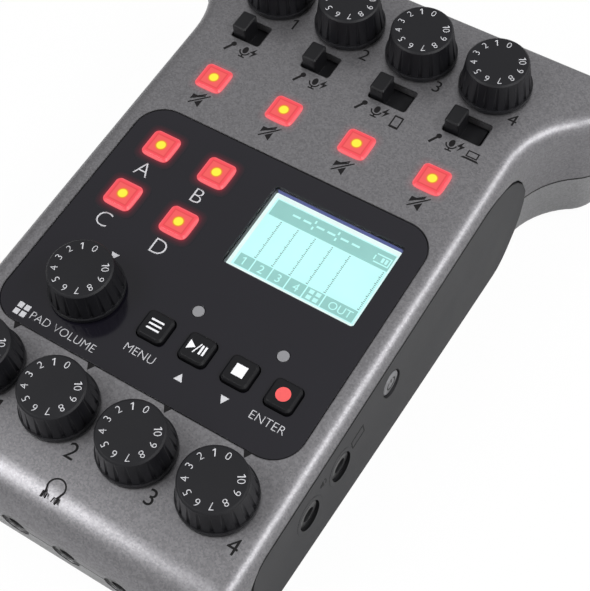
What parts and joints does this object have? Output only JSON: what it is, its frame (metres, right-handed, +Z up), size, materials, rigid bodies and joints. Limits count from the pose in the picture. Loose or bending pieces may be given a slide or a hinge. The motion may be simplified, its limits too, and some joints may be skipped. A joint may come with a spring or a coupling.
{
  "type": "podcast recorder",
  "caption": "Wedge-shaped desktop audio recorder with grooved level knobs, lit mute and pad keys, slide switches, a display panel and a flared head of microphone sockets.",
  "frame": {"origin": "on the table under the middle of the case's box", "axes": "+Z up, +Y towards the head with the microphone sockets, +X to the right as the user faces the display"},
  "size_m": [0.112, 0.1544, 0.0464],
  "materials": {
    "case_silver": "metallic silver-grey paint, satin, finely speckled",
    "case_pale": "metallic silver-grey paint, satin, slightly lighter",
    "panel_black": "satin black sheet with white print",
    "grip_dark": "fine-grained dark grey plastic",
    "window_clear": "clear acrylic window",
    "display_lit": "backlit pale cyan liquid-crystal display with a dark blue border",
    "knob_black": "matt black grooved knob with white numbers",
    "key_lit": "translucent silicone lit red from inside",
    "key_black": "black silicone with printed symbols",
    "lever_black": "black lever with softened edges",
    "light_pipe": "grey translucent light pipe",
    "socket_black": "black moulded connector",
    "latch_metal": "plated latch",
    "jack_black": "black jack with a bright rim",
    "power_grey": "dark grey push button",
    "port_metal": "plated steel port shell",
    "cell_wrap": "plain wrapped battery cell",
    "contact_metal": "nickel-plated spring steel",
    "board_green": "green solder mask",
    "pot_metal": "plated potentiometer body",
    "switch_black": "black switch body",
    "lamp_cream": "surface-mount lamp",
    "screw_steel": "black zinc screw",
    "foot_rubber": "black rubber foot"
  },
  "bodies": {
    "case": {"top_shell": "case_silver", "bottom_shell": "case_pale", "control_panel": "panel_black", "side_grip_left": "grip_dark", "side_grip_right": "grip_dark", "display_window": "window_clear", "display_module": "display_lit", "status_lights": "light_pipe", "xlr_shells": "socket_black", "xlr_inserts": "socket_black", "headphone_jacks": "jack_black", "side_jacks": "jack_black", "usb_socket": "port_metal", "card_socket": "port_metal", "batteries": "cell_wrap", "battery_contacts": "contact_metal", "main_board": "board_green", "input_board": "board_green", "gain_pots": "pot_metal", "volume_pots": "pot_metal", "pad_pot": "pot_metal", "lever_bodies": "switch_black", "key_switches": "switch_black", "key_lamps": "lamp_cream", "case_screws": "screw_steel", "feet": "foot_rubber"},
    "gain_knob_1": {"gain_knob_1": "knob_black"},
    "volume_knob_1": {"volume_knob_1": "knob_black"},
    "gain_knob_2": {"gain_knob_2": "knob_black"},
    "volume_knob_2": {"volume_knob_2": "knob_black"},
    "gain_knob_3": {"gain_knob_3": "knob_black"},
    "volume_knob_3": {"volume_knob_3": "knob_black"},
    "gain_knob_4": {"gain_knob_4": "knob_black"},
    "volume_knob_4": {"volume_knob_4": "knob_black"},
    "pad_knob": {"pad_knob": "knob_black"},
    "mute_key_1": {"mute_key_1": "key_lit"},
    "mute_key_2": {"mute_key_2": "key_lit"},
    "mute_key_3": {"mute_key_3": "key_lit"},
    "mute_key_4": {"mute_key_4": "key_lit"},
    "pad_key_a": {"pad_key_a": "key_lit"},
    "pad_key_b": {"pad_key_b": "key_lit"},
    "pad_key_c": {"pad_key_c": "key_lit"},
    "pad_key_d": {"pad_key_d": "key_lit"},
    "menu_key": {"menu_key": "key_black"},
    "play_key": {"play_key": "key_black"},
    "stop_key": {"stop_key": "key_black"},
    "record_key": {"record_key": "key_black"},
    "input_lever_1": {"input_lever_1": "lever_black"},
    "xlr_latch_1": {"xlr_latch_1": "latch_metal"},
    "input_lever_2": {"input_lever_2": "lever_black"},
    "xlr_latch_2": {"xlr_latch_2": "latch_metal"},
    "input_lever_3": {"input_lever_3": "lever_black"},
    "xlr_latch_3": {"xlr_latch_3": "latch_metal"},
    "input_lever_4": {"input_lever_4": "lever_black"},
    "xlr_latch_4": {"xlr_latch_4": "latch_metal"},
    "power_key": {"power_key": "power_grey"},
    "battery_cover": {"battery_cover": "case_silver"}
  },
  "joints": [
    {"name": "gain_knob_1_turn", "type": "hinge", "parent": "case", "child": "gain_knob_1", "pos_m": [-0.0288, 0.05919, 0.03696], "axis": [0, 0.1045, -0.9945], "range_deg": [0, 300]},
    {"name": "volume_knob_1_turn", "type": "hinge", "parent": "case", "child": "volume_knob_1", "pos_m": [-0.0288, -0.05518, 0.02494], "axis": [0, 0.1045, -0.9945], "range_deg": [0, 300]},
    {"name": "gain_knob_2_turn", "type": "hinge", "parent": "case", "child": "gain_knob_2", "pos_m": [-0.0096, 0.05919, 0.03696], "axis": [0, 0.1045, -0.9945], "range_deg": [0, 300]},
    {"name": "volume_knob_2_turn", "type": "hinge", "parent": "case", "child": "volume_knob_2", "pos_m": [-0.0096, -0.05518, 0.02494], "axis": [0, 0.1045, -0.9945], "range_deg": [0, 300]},
    {"name": "gain_knob_3_turn", "type": "hinge", "parent": "case", "child": "gain_knob_3", "pos_m": [0.0096, 0.05919, 0.03696], "axis": [0, 0.1045, -0.9945], "range_deg": [0, 300]},
    {"name": "volume_knob_3_turn", "type": "hinge", "parent": "case", "child": "volume_knob_3", "pos_m": [0.0096, -0.05518, 0.02494], "axis": [0, 0.1045, -0.9945], "range_deg": [0, 300]},
    {"name": "gain_knob_4_turn", "type": "hinge", "parent": "case", "child": "gain_knob_4", "pos_m": [0.0288, 0.05919, 0.03696], "axis": [0, 0.1045, -0.9945], "range_deg": [0, 300]},
    {"name": "volume_knob_4_turn", "type": "hinge", "parent": "case", "child": "volume_knob_4", "pos_m": [0.0288, -0.05518, 0.02494], "axis": [0, 0.1045, -0.9945], "range_deg": [0, 300]},
    {"name": "pad_knob_turn", "type": "hinge", "parent": "case", "child": "pad_knob", "pos_m": [-0.0209, -0.03052, 0.02754], "axis": [0, 0.1045, -0.9945], "range_deg": [0, 300]},
    {"name": "mute_key_1_press", "type": "slide", "parent": "case", "child": "mute_key_1", "axis": [0, 0.1045, -0.9945], "range_m": [0, 0.0008], "stiffness_N_per_m": 500},
    {"name": "mute_key_2_press", "type": "slide", "parent": "case", "child": "mute_key_2", "axis": [0, 0.1045, -0.9945], "range_m": [0, 0.0008], "stiffness_N_per_m": 500},
    {"name": "mute_key_3_press", "type": "slide", "parent": "case", "child": "mute_key_3", "axis": [0, 0.1045, -0.9945], "range_m": [0, 0.0008], "stiffness_N_per_m": 500},
    {"name": "mute_key_4_press", "type": "slide", "parent": "case", "child": "mute_key_4", "axis": [0, 0.1045, -0.9945], "range_m": [0, 0.0008], "stiffness_N_per_m": 500},
    {"name": "pad_key_a_press", "type": "slide", "parent": "case", "child": "pad_key_a", "axis": [0, 0.1045, -0.9945], "range_m": [0, 0.0008], "stiffness_N_per_m": 500},
    {"name": "pad_key_b_press", "type": "slide", "parent": "case", "child": "pad_key_b", "axis": [0, 0.1045, -0.9945], "range_m": [0, 0.0008], "stiffness_N_per_m": 500},
    {"name": "pad_key_c_press", "type": "slide", "parent": "case", "child": "pad_key_c", "axis": [0, 0.1045, -0.9945], "range_m": [0, 0.0008], "stiffness_N_per_m": 500},
    {"name": "pad_key_d_press", "type": "slide", "parent": "case", "child": "pad_key_d", "axis": [0, 0.1045, -0.9945], "range_m": [0, 0.0008], "stiffness_N_per_m": 500},
    {"name": "menu_key_press", "type": "slide", "parent": "case", "child": "menu_key", "axis": [0, 0.1045, -0.9945], "range_m": [0, 0.0008], "stiffness_N_per_m": 500},
    {"name": "play_key_press", "type": "slide", "parent": "case", "child": "play_key", "axis": [0, 0.1045, -0.9945], "range_m": [0, 0.0008], "stiffness_N_per_m": 500},
    {"name": "stop_key_press", "type": "slide", "parent": "case", "child": "stop_key", "axis": [0, 0.1045, -0.9945], "range_m": [0, 0.0008], "stiffness_N_per_m": 500},
    {"name": "record_key_press", "type": "slide", "parent": "case", "child": "record_key", "axis": [0, 0.1045, -0.9945], "range_m": [0, 0.0008], "stiffness_N_per_m": 500},
    {"name": "input_lever_1_slide", "type": "slide", "parent": "case", "child": "input_lever_1", "axis": [1, 0, 0], "range_m": [0, 0.0034]},
    {"name": "xlr_latch_1_push", "type": "slide", "parent": "case", "child": "xlr_latch_1", "axis": [0, -0.9945, -0.1045], "range_m": [0, 0.0015], "stiffness_N_per_m": 500},
    {"name": "input_lever_2_slide", "type": "slide", "parent": "case", "child": "input_lever_2", "axis": [1, 0, 0], "range_m": [0, 0.0034]},
    {"name": "xlr_latch_2_push", "type": "slide", "parent": "case", "child": "xlr_latch_2", "axis": [0, -0.9945, -0.1045], "range_m": [0, 0.0015], "stiffness_N_per_m": 500},
    {"name": "input_lever_3_slide", "type": "slide", "parent": "case", "child": "input_lever_3", "axis": [1, 0, 0], "range_m": [0, 0.0055]},
    {"name": "xlr_latch_3_push", "type": "slide", "parent": "case", "child": "xlr_latch_3", "axis": [0, -0.9945, -0.1045], "range_m": [0, 0.0015], "stiffness_N_per_m": 500},
    {"name": "input_lever_4_slide", "type": "slide", "parent": "case", "child": "input_lever_4", "axis": [1, 0, 0], "range_m": [0, 0.0055]},
    {"name": "xlr_latch_4_push", "type": "slide", "parent": "case", "child": "xlr_latch_4", "axis": [0, -0.9945, -0.1045], "range_m": [0, 0.0015], "stiffness_N_per_m": 500},
    {"name": "power_key_press", "type": "slide", "parent": "case", "child": "power_key", "axis": [-1, 0, 0], "range_m": [0, 0.0008], "stiffness_N_per_m": 500},
    {"name": "battery_cover_lift", "type": "slide", "parent": "case", "child": "battery_cover", "axis": [0, 0, -1], "range_m": [0, 0.03]}
  ]
}
